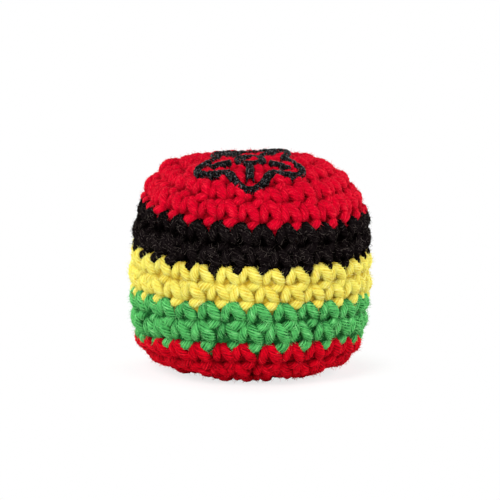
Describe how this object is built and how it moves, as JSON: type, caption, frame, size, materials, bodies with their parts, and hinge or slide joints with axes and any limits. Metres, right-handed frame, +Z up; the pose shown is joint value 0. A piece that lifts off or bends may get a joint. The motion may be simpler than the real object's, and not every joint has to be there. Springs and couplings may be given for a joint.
{
  "type": "footbag",
  "caption": "Squat round crocheted kicking bag in stripes of thick yarn, with an embroidered rosette, over a tied pouch of plastic pellets.",
  "frame": {"origin": "centre of the flat sole, on the surface that the bag stands on", "axes": "+Z up through the crown, -Y towards the side that the picture shows, +X to its right"},
  "size_m": [0.057, 0.057, 0.0522],
  "materials": {
    "red_yarn": "thick red acrylic yarn, crocheted, slightly fuzzy",
    "black_yarn": "thick black acrylic yarn, crocheted, fuzzy",
    "yellow_yarn": "thick yellow acrylic yarn, crocheted, slightly fuzzy",
    "green_yarn": "thick green acrylic yarn, crocheted, slightly fuzzy",
    "embroidery_thread": "black satin-stitched thread with a soft gloss",
    "pouch_cloth": "thin unbleached plain-woven cotton",
    "tie_thread": "red twisted tying thread",
    "pellet_plastic": "natural translucent-white plastic pellets"
  },
  "bodies": {
    "root": {"cover_red_crown": "red_yarn", "cover_black_stripe": "black_yarn", "cover_yellow_stripe": "yellow_yarn", "cover_green_stripe": "green_yarn", "cover_red_sole": "red_yarn", "rosette_petals": "embroidery_thread", "rosette_centre": "embroidery_thread", "rosette_ray_1": "embroidery_thread", "rosette_ray_2": "embroidery_thread", "rosette_ray_3": "embroidery_thread", "rosette_ray_4": "embroidery_thread", "rosette_ray_5": "embroidery_thread", "pellet_pouch": "pouch_cloth", "pouch_tie": "tie_thread", "pellet_bed": "pellet_plastic", "loose_pellet_01": "pellet_plastic", "loose_pellet_02": "pellet_plastic", "loose_pellet_03": "pellet_plastic", "loose_pellet_04": "pellet_plastic", "loose_pellet_05": "pellet_plastic", "loose_pellet_06": "pellet_plastic", "loose_pellet_07": "pellet_plastic", "loose_pellet_08": "pellet_plastic", "loose_pellet_09": "pellet_plastic", "loose_pellet_10": "pellet_plastic", "loose_pellet_11": "pellet_plastic", "loose_pellet_12": "pellet_plastic", "loose_pellet_13": "pellet_plastic", "loose_pellet_14": "pellet_plastic", "loose_pellet_15": "pellet_plastic", "loose_pellet_16": "pellet_plastic", "loose_pellet_17": "pellet_plastic", "loose_pellet_18": "pellet_plastic", "loose_pellet_19": "pellet_plastic"}
  },
  "joints": []
}
